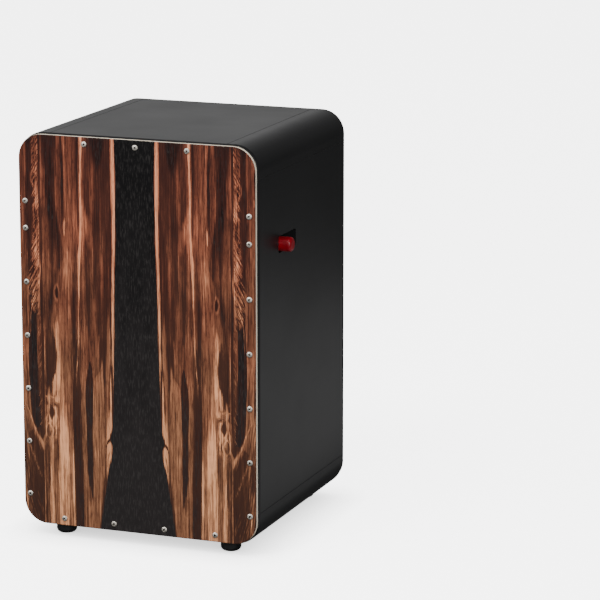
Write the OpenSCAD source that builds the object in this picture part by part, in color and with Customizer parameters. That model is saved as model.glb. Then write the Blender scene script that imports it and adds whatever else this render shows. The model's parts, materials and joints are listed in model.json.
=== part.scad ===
// Cajon: a seated box drum with a screwed-on playing plate, a rear panel with a
// pick-shaped sound hole, and a sliding snare carriage worked by a lever on the side.
//
// Frame: origin on the floor at the centre of the four feet, +Z up, the playing
// plate faces -Y, and the snare lever comes out on the +X side. Millimetres.

/* [Body] */
// Width of the wooden body, side to side
body_w = 300; // [290:1:320]
// Height of the wooden body, without its feet
body_h = 472; // [465:1:490]
// Depth of the shell between the two plates
shell_d = 286; // [280:1:300]
// Thickness of the shell walls
wall = 18; // [17:0.5:18]
// Outer radius of the four long corner profiles
corner_r = 30; // [28:1:32]
// Distance from the outside of the body to each glued corner seam
corner_seam = 39; // [38:0.5:42]
// Radius on the front and rear outer edges of the shell
shell_edge_r = 6; // [2:0.5:8]

/* [Plates] */
// Thickness of the playing plate with its veneer
front_t = 4; // [3.5:0.5:6]
// Thickness of the face veneer
veneer_t = 0.6; // [0.5:0.1:0.8]
// Thickness of the rear panel
rear_t = 4; // [3.5:0.5:6]
// Step from the outside of the body in to the edge of a plate
plate_inset = 1.4; // [1:0.1:2]
// Rounding of the outer edge of a plate
plate_edge_r = 1.2; // [0.8:0.1:1.5]

/* [Sound hole] */
// Mean radius of the pick-shaped hole
hole_r = 58.5; // [50:0.5:62]
// How much wider than tall the hole is
hole_oval = 3.45; // [2:0.05:4]
// How much the hole is drawn to three rounded corners
hole_pick = 2.15; // [1:0.05:3]
// Height of the hole's centre above the underside of the body
hole_z = 285.3; // [270:0.1:290]

/* [Plate screws] */
// Pitch of the screws around both plates
screw_pitch = 64.4; // [62:0.1:66]
// Distance of the side screws from the outside of the body
screw_in_side = 9.3; // [8.5:0.1:9.5]
// Distance of the top and bottom screws from the outside of the body
screw_in_end = 9.9; // [8.5:0.1:10]
// Height of the lowest side screws above the underside of the body
screw_low_z = 36.9; // [36:0.1:36.9]

/* [Feet] */
// Height of a rubber foot
foot_h = 14; // [12:1:18]
// Radius of a rubber foot
foot_r = 12.2; // [11:0.1:14]
// Distance of the feet from the middle of the body, across
foot_x = 106; // [95:1:108]
// Distance of the feet from the middle of the body, front to back
foot_y = 121; // [110:1:123]

/* [Snare lever] */
// Length of the slot in the side panel
slot_len = 56; // [50:1:60]
// Height of the slot in the side panel
slot_h = 20; // [18:1:22]
// Place of the slot's centre, front to back
slot_y = -51; // [-54:1:-48]
// Height of the slot's centre above the underside of the body
slot_z = 346; // [340:1:352]
// Diameter of the rubber cap on the lever
cap_d = 17.5; // [15:0.5:17.5]
// How far the cap stands out from the side of the body
cap_out = 14.5; // [10:0.5:20]
// Diameter of the lever rod
rod_d = 8; // [6:0.5:9]
// Travel of the lever between snare on and snare off
travel = 37; // [30:1:37]

/* [Snare wires] */
// Number of spiral wires in each of the two sets
wire_count = 20; // [10:1:20]
// Outer diameter of a spiral wire
wire_d = 2; // [1.6:0.1:2.2]
// Length of a spiral wire
wire_len = 112; // [90:1:115]
// Lean of the wires towards the playing plate, degrees
wire_lean = 1.8; // [1:0.1:1.9]

/* [Hidden] */

$fn = 64;

// Fits
fit = 0.05;

// Body, measured from the floor
body_z0 = foot_h;
body_z1 = foot_h + body_h;
mid_z = (body_z0 + body_z1) / 2;
half_w = body_w / 2;
half_d = shell_d / 2;
inner_x = half_w - wall;
seam_x = half_w - corner_seam;
seam_half_z = body_h / 2 - corner_seam;
corner_in_r = corner_r - wall;
tongue_t = 6;
tongue_len = 6;
seam_groove_w = 0.6;

// Plates
plate_w = body_w - 2 * plate_inset;
plate_h = body_h - 2 * plate_inset;
plate_r = corner_r - plate_inset;
core_t = front_t - veneer_t;
hole_step = 5;

// Plate screws
plate_screw_head_r = 3.4;
plate_screw_head_h = 1.7;
plate_screw_r = 1.75;
plate_screw_len = 22;
rear_side_count = 7;
front_side_count = 6;

// Feet
foot_round = 5.5;
foot_recess_r = 4.8;
foot_recess_h = 8;
foot_washer_r = 4.6;
foot_washer_t = 1;
foot_screw_r = 2;
foot_screw_head_r = 4;
foot_screw_head_h = 2.4;
foot_screw_len = 22;

// Guide rails, one on the inside of each side wall, below the slot
lever_z = body_z0 + slot_z;
rail_t = 3;
rail_h = 30;
rail_w = 15.5;
rail_y0 = -138;
rail_y1 = 0;
rail_z1 = lever_z - slot_h / 2 - 2;
rail_z0 = rail_z1 - rail_h;
rail_mid_z = (rail_z0 + rail_z1) / 2;
rail_x0 = inner_x - rail_w;
rail_screw_ys = [-124, -69, -14];
rail_screw_head_r = 3.4;
rail_screw_r = 1.6;
rail_screw_len = 15;
liner_t = 1.5;

// Runners, lever brackets and cross bar of the snare carriage
slide_gap = 0.3;
runner_gap = 0.6;
runner_proud = 1.5;
runner_h = rail_h - 2 * rail_t - 2 * liner_t - 2 * slide_gap;
runner_x0 = rail_x0 - runner_proud;
runner_x1 = inner_x - rail_t - runner_gap;
runner_len = 95;
runner_y0 = rail_y0 + 0.5;
cap_y = slot_y - travel / 2;
bracket_t = 10;
bracket_r = 15;
bracket_x0 = runner_x0 - bracket_t;
bracket_z0 = rail_mid_z - runner_h / 2;
bracket_screw_dy = 8.5;
bar_t = 12;
bar_h = 20;
bar_y0 = -136;
bar_y1 = bar_y0 + bar_t;
bar_screw_r = 1.75;
bar_screw_head_r = 3.5;
bar_screw_len = 29;

// Lever rod
rod_left = -runner_x0 - 4;
rod_right = half_w + cap_out - 4;
cap_x0 = half_w - 6;
cap_x1 = half_w + cap_out;
cap_round = 4;
collar_r = 8;
collar_w = 8;
set_screw_r = 2;
set_screw_len = 4;

// Snare sets
wire_pitch = 4;
set_x = 60;
set_w = (wire_count - 1) * wire_pitch + 8;
end_plate_t = 1;
end_plate_z0 = rail_mid_z - 8;
end_plate_h = 16;
wire_z0 = end_plate_z0 + 9;
clamp_t = 2.5;
clamp_h = 8;
clamp_screw_dx = (set_w - 16) / 2;
clamp_screw_z = end_plate_z0 + 4;
clamp_screw_head_r = 2.6;
clamp_screw_head_h = 1.3;
clamp_screw_r = 1.25;
clamp_screw_len = 13;
embed = 0.2;

// ---------------------------------------------------------------- shapes

// Rectangle with round corners, centred
module rounded_rect(w, h, r) {
    square([w - 2 * r, h], center = true);
    square([w, h - 2 * r], center = true);
    for (sx = [-1, 1], sy = [-1, 1])
        translate([sx * (w / 2 - r), sy * (h / 2 - r)]) circle(r = r);
}

// Section of a plate's rim: the rim's width along X, its height along Y
module rim_section(t, e) {
    square([e, t - e]);
    intersection() {
        translate([0, t - e]) circle(r = e);
        square([e, t]);
    }
}

// Slab with a round outline and a round upper edge, on z = 0
module rounded_slab(w, h, r, t, e) {
    linear_extrude(height = t) rounded_rect(w - 2 * e, h - 2 * e, r - e);
    for (k = [0:3]) {
        across = k % 2 == 0 ? w : h;
        along = k % 2 == 0 ? h : w;
        sx = k == 0 || k == 3 ? 1 : -1;
        sy = k < 2 ? 1 : -1;
        rotate(90 * k) translate([across / 2 - e, 0, 0]) rotate([90, 0, 0])
            linear_extrude(height = along - 2 * r, center = true) rim_section(t, e);
        translate([sx * (w / 2 - r), sy * (h / 2 - r), 0]) rotate(90 * k)
            rotate_extrude(angle = 90) translate([r - e, 0]) rim_section(t, e);
    }
}

// Section of a shell wall: depth along X, thickness along Y from the inside out
module wall_section() {
    translate([-half_d, 0]) square([shell_d, wall - shell_edge_r]);
    translate([shell_edge_r - half_d, 0]) square([shell_d - 2 * shell_edge_r, wall]);
    for (s = [-1, 1])
        translate([s * (half_d - shell_edge_r), wall - shell_edge_r])
            circle(r = shell_edge_r);
}

// Flat shell panel, centred, its outside towards +Z, its length along X
module flat_panel(len) {
    difference() {
        translate([-len / 2, 0, 0]) rotate([90, 0, 90])
            linear_extrude(height = len) wall_section();
        for (s = [-1, 1])
            translate([s * len / 2, 0, wall / 2])
                cube([2 * tongue_len, shell_d + 2, tongue_t], center = true);
    }
}

// Corner profile: a quarter bend, a straight leg to each seam and two tongues.
// The centre of the bend is at the origin, the outside towards +X and +Z.
module corner_profile() {
    leg = corner_seam - corner_r;
    rotate([90, 0, 0]) rotate_extrude(angle = 90)
        translate([corner_in_r, 0]) rotate(90) mirror([0, 1]) wall_section();
    translate([-leg, 0, corner_in_r]) rotate([90, 0, 90])
        linear_extrude(height = leg) wall_section();
    translate([corner_in_r, 0, -leg]) linear_extrude(height = leg)
        rotate(90) mirror([0, 1]) wall_section();
    translate([-leg - tongue_len, -half_d, corner_in_r + (wall - tongue_t) / 2])
        cube([tongue_len, shell_d, tongue_t]);
    translate([corner_in_r + (wall - tongue_t) / 2, -half_d, -leg - tongue_len])
        cube([tongue_t, shell_d, tongue_len]);
}

// Pan-head screw along -Z, the underside of its head on z = 0
module pan_screw(head_r, head_h, shank_r, len) {
    dome_r = 1.5 * head_r;
    slot_w = 0.32 * head_r;
    difference() {
        intersection() {
            translate([0, 0, head_h - dome_r]) sphere(r = dome_r);
            cylinder(r = head_r, h = 2 * head_h);
        }
        for (a = [0, 90])
            rotate(a) translate([0, 0, head_h]) cube([1.15 * head_r, slot_w, 1.3 * head_h], center = true);
    }
    screw_shank(shank_r, len);
}

// Countersunk screw along -Z, the top of its head on z = 0
module countersunk_screw(head_r, shank_r, len) {
    head_h = head_r - shank_r;
    difference() {
        translate([0, 0, -head_h]) cylinder(r1 = shank_r, r2 = head_r, h = head_h);
        for (a = [0, 90])
            rotate(a) cube([1.1 * head_r, 0.3 * head_r, 0.9 * head_h], center = true);
    }
    translate([0, 0, -head_h]) screw_shank(shank_r, len - head_h);
}

// Shank with a point, down from z = 0
module screw_shank(r, len) {
    tip = 2 * r;
    translate([0, 0, tip - len]) cylinder(r = r, h = len - tip);
    translate([0, 0, -len]) cylinder(r1 = 0.15 * r, r2 = r, h = tip);
}

// Hole for a screw along -Z, from just above z = 0
module screw_hole(r, len) {
    translate([0, 0, -len - 1]) cylinder(r = r + fit, h = len + 2);
}

// Countersink for a screw head whose top is on z = 0
module countersink(head_r, shank_r) {
    head_h = head_r - shank_r;
    translate([0, 0, -head_h]) cylinder(r1 = shank_r + fit, r2 = head_r + fit, h = head_h);
    translate([0, 0, -fit]) cylinder(r = head_r + fit, h = 1);
}

// ---------------------------------------------------------------- placing

// Children with their +Z turned to the playing side, on the outside of the front plate
module on_front() {
    translate([0, -half_d - front_t, 0]) rotate([90, 0, 0]) children();
}

// Children with their +Z turned to the rear, on the outside of the rear panel
module on_rear() {
    translate([0, half_d + rear_t, 0]) rotate([90, 0, 180]) children();
}

// Children at each screw of the playing plate; the two upper corners stay free
module at_front_screws() {
    side_x = half_w - screw_in_side;
    on_front() {
        for (x = [-1, 0, 1])
            translate([x * screw_pitch, body_z1 - screw_in_end, 0]) children();
        for (i = [-1.5, -0.5, 0.5, 1.5])
            translate([i * screw_pitch, body_z0 + screw_in_end, 0]) children();
        for (s = [-1, 1], i = [0:front_side_count])
            translate([s * side_x, body_z0 + screw_low_z + min(i, front_side_count - 0.5) * screw_pitch, 0])
                children();
    }
}

// Children at each screw of the rear panel
module at_rear_screws() {
    side_x = half_w - screw_in_side;
    on_rear() {
        for (z = [body_z0 + screw_in_end, body_z1 - screw_in_end], i = [-1.5, -0.5, 0.5, 1.5])
            translate([i * screw_pitch, z, 0]) children();
        for (s = [-1, 1], i = [0:rear_side_count - 1])
            translate([s * side_x, body_z0 + screw_low_z + i * screw_pitch, 0]) children();
    }
}

// Children at one foot, or at all four
module at_foot(sx, sy) {
    translate([sx * foot_x, sy * foot_y, 0]) children();
}
module at_feet() {
    for (sx = [-1, 1], sy = [-1, 1])
        at_foot(sx, sy) children();
}

// Children on the left and, mirrored, on the right
module both_sides() {
    for (s = [0, 1])
        mirror([s, 0, 0]) children();
}

// Children at the rail screws of the left side, +Z towards the inside of the body
module at_rail_screws() {
    for (y = rail_screw_ys)
        translate([rail_t - inner_x, y, rail_mid_z]) rotate([0, 90, 0]) children();
}

// Children at the bracket screws of the left side, +Z towards the inside of the body
module at_bracket_screws() {
    for (s = [-1, 1])
        translate([-bracket_x0, cap_y + s * bracket_screw_dy, rail_mid_z]) rotate([0, 90, 0]) children();
}

// Children at the cross bar's end screws of the left side, +Z outwards
module at_bar_screws() {
    for (s = [-1, 1])
        translate([-runner_x1, (bar_y0 + bar_y1) / 2, rail_mid_z + s * 5]) rotate([0, -90, 0]) children();
}

// Children at the clamp screws of the left set, +Z towards the playing plate
module at_clamp_screws() {
    for (i = [-1, 0, 1])
        translate([i * clamp_screw_dx - set_x, bar_y0 - end_plate_t - clamp_t, clamp_screw_z])
            rotate([90, 0, 0]) children();
}

// V-groove along a glued seam of the shell
module seam_groove(x, z) {
    translate([x, 0, z]) rotate([0, 45, 0]) cube([seam_groove_w, shell_d + 2, seam_groove_w], center = true);
}

// Everything cut into the glued shell: pilot holes for plate and foot screws, and the seams
module shell_cuts() {
    at_front_screws() screw_hole(plate_screw_r, plate_screw_len);
    at_rear_screws() screw_hole(plate_screw_r, plate_screw_len);
    at_feet() translate([0, 0, body_z0 - 1]) cylinder(r = foot_screw_r + fit, h = wall - 1);
    for (sx = [-1, 1], sz = [-1, 1]) {
        seam_groove(sx * half_w, mid_z + sz * seam_half_z);
        seam_groove(sx * seam_x, mid_z + sz * body_h / 2);
    }
}

// ---------------------------------------------------------------- shell

module top_panel() {
    color("#1c1c1d") difference() {
        translate([0, 0, body_z1 - wall]) flat_panel(2 * seam_x);
        shell_cuts();
    }
}

module bottom_panel() {
    color("#1c1c1d") difference() {
        translate([0, 0, body_z0 + wall]) mirror([0, 0, 1]) flat_panel(2 * seam_x);
        shell_cuts();
    }
}

// Side panel on the left, its outside towards -X
module side_panel() {
    difference() {
        translate([-inner_x, 0, mid_z]) rotate([0, -90, 0]) flat_panel(2 * seam_half_z);
        shell_cuts();
        at_rail_screws() screw_hole(rail_screw_r, rail_screw_len);
    }
}

module left_panel() {
    color("#1c1c1d") side_panel();
}

module right_panel() {
    color("#1c1c1d") difference() {
        mirror([1, 0, 0]) side_panel();
        translate([inner_x - 1, slot_y, lever_z]) rotate([90, 0, 90])
            linear_extrude(height = wall + 2) rounded_rect(slot_len, slot_h, 3);
    }
}

// Corner profile of the upper right edge
module corner() {
    difference() {
        translate([half_w - corner_r, 0, body_z1 - corner_r]) corner_profile();
        shell_cuts();
    }
}

// Children turned over to the lower edge of the body
module turned_over() {
    translate([0, 0, 2 * mid_z]) mirror([0, 0, 1]) children();
}

module lower_corner() {
    difference() {
        turned_over() translate([half_w - corner_r, 0, body_z1 - corner_r]) corner_profile();
        shell_cuts();
    }
}

module corner_top_left() {
    color("#1a1a1b") mirror([1, 0, 0]) corner();
}

module corner_top_right() {
    color("#1a1a1b") corner();
}

module corner_bottom_left() {
    color("#1a1a1b") mirror([1, 0, 0]) lower_corner();
}

module corner_bottom_right() {
    color("#1a1a1b") lower_corner();
}

// ---------------------------------------------------------------- plates

// Whole playing plate with its screw holes, before it is parted into core and veneer
module playing_plate() {
    difference() {
        translate([0, -half_d, mid_z]) rotate([90, 0, 0])
            rounded_slab(plate_w, plate_h, plate_r, front_t, plate_edge_r);
        at_front_screws() screw_hole(plate_screw_r, front_t);
    }
}

module front_plate() {
    color("#d8b98c") intersection() {
        playing_plate();
        translate([-half_w, -half_d - core_t, body_z0]) cube([body_w, core_t, body_h]);
    }
}

module front_veneer() {
    color("#5a2f1e") intersection() {
        playing_plate();
        translate([-half_w, -half_d - front_t, body_z0]) cube([body_w, veneer_t, body_h]);
    }
}

// Outline of the sound hole: a circle widened sideways and drawn to three corners
module sound_hole_outline() {
    polygon([
        for (a = [0:hole_step:360 - hole_step])
            let (r = hole_r + hole_oval * cos(2 * a) + hole_pick * sin(3 * a))
            [r * cos(a), r * sin(a)]
    ]);
}

module rear_panel() {
    color("#141415") difference() {
        translate([0, half_d, mid_z]) rotate([90, 0, 180])
            rounded_slab(plate_w, plate_h, plate_r, rear_t, plate_edge_r);
        translate([0, half_d - 1, body_z0 + hole_z]) rotate([90, 0, 180])
            linear_extrude(height = rear_t + 2) sound_hole_outline();
        at_rear_screws() screw_hole(plate_screw_r, rear_t);
    }
}

module front_plate_screws() {
    color("silver") at_front_screws()
        pan_screw(plate_screw_head_r, plate_screw_head_h, plate_screw_r, plate_screw_len);
}

module rear_panel_screws() {
    color("silver") at_rear_screws()
        pan_screw(plate_screw_head_r, plate_screw_head_h, plate_screw_r, plate_screw_len);
}

// ---------------------------------------------------------------- feet

module foot() {
    color("#101011") difference() {
        rotate_extrude() {
            square([foot_r - foot_round, foot_h]);
            translate([0, foot_round]) square([foot_r, foot_h - foot_round]);
            translate([foot_r - foot_round, foot_round]) circle(r = foot_round);
        }
        translate([0, 0, -1]) cylinder(r = foot_recess_r, h = foot_recess_h + 1);
        cylinder(r = foot_screw_r + fit, h = foot_h + 1);
    }
}

module foot_front_left() {
    at_foot(-1, -1) foot();
}

module foot_front_right() {
    at_foot(1, -1) foot();
}

module foot_rear_left() {
    at_foot(-1, 1) foot();
}

module foot_rear_right() {
    at_foot(1, 1) foot();
}

module foot_washers() {
    color("silver") at_feet() translate([0, 0, foot_recess_h - foot_washer_t]) difference() {
        cylinder(r = foot_washer_r, h = foot_washer_t);
        translate([0, 0, -1]) cylinder(r = foot_screw_r + fit, h = foot_washer_t + 2);
    }
}

module foot_screws() {
    color("silver") at_feet() translate([0, 0, foot_recess_h - foot_washer_t]) rotate([180, 0, 0])
        pan_screw(foot_screw_head_r, foot_screw_head_h, foot_screw_r, foot_screw_len);
}

// ---------------------------------------------------------------- guide rails

// U-shaped rail of the left side, open towards the inside of the body
module guide_rail() {
    rail_len = rail_y1 - rail_y0;
    color("#b9bcc0") difference() {
        translate([-inner_x, rail_y0, rail_z0]) cube([rail_w, rail_len, rail_h]);
        translate([rail_t - inner_x, rail_y0 - 1, rail_z0 + rail_t])
            cube([rail_w, rail_len + 2, rail_h - 2 * rail_t]);
        at_rail_screws() {
            countersink(rail_screw_head_r, rail_screw_r);
            screw_hole(rail_screw_r, rail_t);
        }
    }
}

// Felt strips on the inner faces of a rail's flanges
module felt_liner() {
    liner_w = rail_w - rail_t;
    color("#3a3d42") for (z = [rail_z0 + rail_t, rail_z1 - rail_t - liner_t])
        translate([rail_t - inner_x, rail_y0, z]) cube([liner_w, rail_y1 - rail_y0, liner_t]);
}

module guide_rail_left() {
    guide_rail();
}

module guide_rail_right() {
    mirror([1, 0, 0]) guide_rail();
}

module guide_rail_screws() {
    color("silver") both_sides() at_rail_screws()
        countersunk_screw(rail_screw_head_r, rail_screw_r, rail_screw_len);
}

module felt_liner_left() {
    felt_liner();
}

module felt_liner_right() {
    mirror([1, 0, 0]) felt_liner();
}

// ---------------------------------------------------------------- snare carriage

// Wooden runner of the left side
module runner() {
    color("#c79a63") difference() {
        translate([-runner_x1, runner_y0, rail_mid_z - runner_h / 2])
            cube([runner_x1 - runner_x0, runner_len, runner_h]);
        at_bar_screws() {
            countersink(bar_screw_head_r, bar_screw_r);
            screw_hole(bar_screw_r, bar_screw_len);
        }
        at_bracket_screws() screw_hole(bar_screw_r, bracket_t + 10);
    }
}

module runner_left() {
    runner();
}

module runner_right() {
    mirror([1, 0, 0]) runner();
}

// Cross bar between the two runners, behind the playing plate
module snare_bar() {
    color("#c79a63") difference() {
        translate([-runner_x0, bar_y0, rail_mid_z - bar_h / 2])
            cube([2 * runner_x0, bar_t, bar_h]);
        both_sides() at_bar_screws() screw_hole(bar_screw_r, bar_screw_len);
        both_sides() at_clamp_screws() screw_hole(clamp_screw_r, clamp_screw_len);
    }
}

module snare_bar_screws() {
    color("silver") both_sides() at_bar_screws()
        countersunk_screw(bar_screw_head_r, bar_screw_r, bar_screw_len);
}

// Bracket of the left side: from the runner's inner face up to the rod
module lever_bracket() {
    color("#9ea2a6") difference() {
        union() {
            translate([-runner_x0, cap_y - bracket_r, bracket_z0])
                cube([bracket_t, 2 * bracket_r, lever_z - bracket_z0]);
            translate([-runner_x0, cap_y, lever_z]) rotate([0, 90, 0])
                cylinder(r = bracket_r, h = bracket_t);
        }
        translate([-runner_x0 - 1, cap_y, lever_z]) rotate([0, 90, 0])
            cylinder(r = rod_d / 2 + fit, h = bracket_t + 2);
        at_bracket_screws() screw_hole(bar_screw_r, bracket_t);
    }
}

module lever_bracket_left() {
    lever_bracket();
}

module lever_bracket_right() {
    mirror([1, 0, 0]) lever_bracket();
}

module lever_bracket_screws() {
    color("silver") both_sides() at_bracket_screws()
        pan_screw(plate_screw_head_r, plate_screw_head_h, bar_screw_r, bracket_t + 10);
}

module lever_rod() {
    color("silver") translate([rod_left, cap_y, lever_z]) rotate([0, 90, 0])
        cylinder(r = rod_d / 2, h = rod_right - rod_left);
}

module lever_cap() {
    cap_r = cap_d / 2;
    color("#c4162c") translate([cap_x0, cap_y, lever_z]) rotate([0, 90, 0]) difference() {
        rotate_extrude() {
            square([cap_r, cap_x1 - cap_x0 - cap_round]);
            square([cap_r - cap_round, cap_x1 - cap_x0]);
            translate([cap_r - cap_round, cap_x1 - cap_x0 - cap_round]) circle(r = cap_round);
        }
        translate([0, 0, -1]) cylinder(r = rod_d / 2 + fit, h = rod_right - cap_x0 + 1 + fit);
    }
}

// Collars on the rod, against the inner faces of the brackets
module rod_collars() {
    color("#8d9094") both_sides() translate([-bracket_x0, cap_y, lever_z]) difference() {
        rotate([0, 90, 0]) cylinder(r = collar_r, h = collar_w);
        translate([-1, 0, 0]) rotate([0, 90, 0]) cylinder(r = rod_d / 2 + fit, h = collar_w + 2);
        translate([collar_w / 2, 0, 0]) cylinder(r = set_screw_r + fit, h = collar_r + 1);
    }
}

// Hexagon-socket set screws that hold the collars on the rod
module collar_set_screws() {
    color("#2a2b2d") both_sides()
        translate([collar_w / 2 - bracket_x0, cap_y, lever_z + rod_d / 2]) difference() {
            cylinder(r = set_screw_r, h = set_screw_len);
            translate([0, 0, set_screw_len - 1.5]) cylinder(r = 1.1, h = 2, $fn = 6);
        }
}

// Thin end plate of the left set, on the front of the cross bar
module end_plate() {
    color("silver") difference() {
        translate([-set_x - set_w / 2, bar_y0 - end_plate_t, end_plate_z0])
            cube([set_w, end_plate_t, end_plate_h]);
        at_clamp_screws() screw_hole(clamp_screw_r, clamp_screw_len);
    }
}

module snare_end_plate_left() {
    end_plate();
}

module snare_end_plate_right() {
    mirror([1, 0, 0]) end_plate();
}

// Clamp strip of the left set, on the lower half of its end plate
module clamp_strip() {
    color("#8d9094") difference() {
        translate([-set_x - set_w / 2, bar_y0 - end_plate_t - clamp_t, end_plate_z0])
            cube([set_w, clamp_t, clamp_h]);
        at_clamp_screws() screw_hole(clamp_screw_r, clamp_screw_len);
    }
}

module snare_clamp_left() {
    clamp_strip();
}

module snare_clamp_right() {
    mirror([1, 0, 0]) clamp_strip();
}

module snare_clamp_screws() {
    color("silver") both_sides() at_clamp_screws()
        pan_screw(clamp_screw_head_r, clamp_screw_head_h, clamp_screw_r, clamp_screw_len);
}

// Spiral wires of the left set, each as a round bar of the spiral's outer size
module snare_wires() {
    wire_y = bar_y0 - end_plate_t - wire_d / 2 + embed;
    color("#c9cbcd") for (i = [0:wire_count - 1])
        translate([(i - (wire_count - 1) / 2) * wire_pitch - set_x, wire_y, wire_z0])
            rotate([wire_lean, 0, 0]) cylinder(r = wire_d / 2, h = wire_len);
}

module snare_wires_left() {
    snare_wires();
}

module snare_wires_right() {
    mirror([1, 0, 0]) snare_wires();
}

// ---------------------------------------------------------------- drawing

top_panel();
bottom_panel();
left_panel();
right_panel();
corner_top_left();
corner_top_right();
corner_bottom_left();
corner_bottom_right();
front_plate();
front_veneer();
rear_panel();
front_plate_screws();
rear_panel_screws();
foot_front_left();
foot_front_right();
foot_rear_left();
foot_rear_right();
foot_washers();
foot_screws();
guide_rail_left();
guide_rail_right();
guide_rail_screws();
felt_liner_left();
felt_liner_right();
runner_left();
runner_right();
snare_bar();
snare_bar_screws();
lever_bracket_left();
lever_bracket_right();
lever_bracket_screws();
lever_rod();
lever_cap();
rod_collars();
collar_set_screws();
snare_end_plate_left();
snare_end_plate_right();
snare_clamp_left();
snare_clamp_right();
snare_clamp_screws();
snare_wires_left();
snare_wires_right();
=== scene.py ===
import json
import math

import bmesh
import bpy
from mathutils import Matrix, Vector


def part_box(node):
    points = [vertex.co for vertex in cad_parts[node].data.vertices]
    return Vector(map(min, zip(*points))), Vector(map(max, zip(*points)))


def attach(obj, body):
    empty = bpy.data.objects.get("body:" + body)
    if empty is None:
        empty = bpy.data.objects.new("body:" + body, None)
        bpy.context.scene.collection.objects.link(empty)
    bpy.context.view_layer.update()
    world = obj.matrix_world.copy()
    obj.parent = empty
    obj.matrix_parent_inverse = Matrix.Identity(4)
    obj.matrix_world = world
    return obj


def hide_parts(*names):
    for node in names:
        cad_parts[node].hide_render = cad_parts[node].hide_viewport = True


# The looks of the cajon: veneered playing plate, black lacquered body, rubber feet,
# screws, side lever and the snare carriage inside. Metres, in the frame of the CAD:
# +Z up, floor at z = 0, the playing plate faces -Y, the lever comes out at +X.

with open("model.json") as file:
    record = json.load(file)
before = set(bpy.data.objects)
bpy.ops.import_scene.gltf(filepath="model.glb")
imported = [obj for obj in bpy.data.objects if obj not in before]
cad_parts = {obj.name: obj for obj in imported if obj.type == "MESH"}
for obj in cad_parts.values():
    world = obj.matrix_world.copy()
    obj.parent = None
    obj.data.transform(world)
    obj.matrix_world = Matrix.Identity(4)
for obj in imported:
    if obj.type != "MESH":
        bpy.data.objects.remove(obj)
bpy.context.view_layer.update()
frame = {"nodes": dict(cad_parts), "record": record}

MM = 0.001
plate_low, plate_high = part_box("front_veneer")
plate_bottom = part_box("bottom_panel")[0].z
plate_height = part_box("top_panel")[1].z - plate_bottom


# ---------------------------------------------------------------- node graphs

def srgb(red, green, blue):
    """Linear colour from display values of 0 to 255."""
    def linear(c):
        c /= 255
        return c / 12.92 if c <= 0.04045 else ((c + 0.055) / 1.055) ** 2.4
    return linear(red), linear(green), linear(blue), 1.0


class Graph:
    """A node tree, with short calls for the nodes it is made of."""

    def __init__(self, owner, coordinates="Object"):
        owner.use_nodes = True
        self.tree = owner.node_tree
        self.place = self.add("ShaderNodeTexCoord").outputs[coordinates]
        axes = self.add("ShaderNodeSeparateXYZ", {"Vector": self.place})
        self.x, self.y, self.z = axes.outputs

    def add(self, kind, inputs=None, **settings):
        node = self.tree.nodes.new(kind)
        for key, value in settings.items():
            setattr(node, key, value)
        for key, value in (inputs or {}).items():
            self.feed(node.inputs[key], value)
        return node

    def feed(self, socket, value):
        if isinstance(value, bpy.types.NodeSocket):
            self.tree.links.new(value, socket)
        else:
            socket.default_value = value

    def math(self, operation, a, b=0.0):
        return self.add("ShaderNodeMath", {0: a, 1: b}, operation=operation).outputs[0]

    def plus(self, a, b):
        return self.math("ADD", a, b)

    def minus(self, a, b):
        return self.math("SUBTRACT", a, b)

    def times(self, a, b):
        return self.math("MULTIPLY", a, b)

    def scaled(self, vector, scale):
        node = self.add("ShaderNodeVectorMath", {0: vector, 1: scale}, operation="MULTIPLY")
        return node.outputs["Vector"]

    def joined(self, x, y, z):
        return self.add("ShaderNodeCombineXYZ", {0: x, 1: y, 2: z}).outputs["Vector"]

    def noise(self, vector, scale=1.0, detail=2.0, roughness=0.5, distortion=0.0):
        inputs = {"Vector": vector, "Scale": scale, "Detail": detail,
                  "Roughness": roughness, "Distortion": distortion}
        return self.add("ShaderNodeTexNoise", inputs).outputs[0]

    def map(self, value, low, high, to_low=0.0, to_high=1.0, smooth=True):
        """Carries low..high over to to_low..to_high and holds it there on both sides."""
        kind = "SMOOTHSTEP" if smooth else "LINEAR"
        inputs = {"Value": value, "From Min": low, "From Max": high,
                  "To Min": to_low, "To Max": to_high}
        return self.add("ShaderNodeMapRange", inputs, interpolation_type=kind).outputs["Result"]

    def mix(self, factor, a, b, blend="MIX"):
        node = self.add("ShaderNodeMix", data_type="RGBA", blend_type=blend)
        self.feed(node.inputs[0], factor)
        self.feed(node.inputs[6], a)
        self.feed(node.inputs[7], b)
        return node.outputs[2]

    def ramp(self, factor, stops):
        node = self.add("ShaderNodeValToRGB", {"Fac": factor})
        elements = node.color_ramp.elements
        while len(elements) < len(stops):
            elements.new(0.5)
        for element, (place, colour) in zip(elements, stops):
            element.position = place
            element.color = colour
        return node.outputs["Color"]


class Surface(Graph):
    """The node tree of one material."""

    def __init__(self, name, **uniform):
        self.material = bpy.data.materials.new(name)
        super().__init__(self.material)
        self.shader = self.tree.nodes["Principled BSDF"]
        for socket, value in uniform.items():
            self.shader.inputs[socket.replace("_", " ")].default_value = value

    def bump(self, height, distance, strength=1.0):
        inputs = {"Height": height, "Distance": distance, "Strength": strength}
        self.feed(self.shader.inputs["Normal"], self.add("ShaderNodeBump", inputs).outputs["Normal"])

    def finish(self, colour, roughness):
        self.feed(self.shader.inputs["Base Color"], colour)
        self.feed(self.shader.inputs["Roughness"], roughness)
        return self.material


# ---------------------------------------------------------------- veneer

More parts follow.
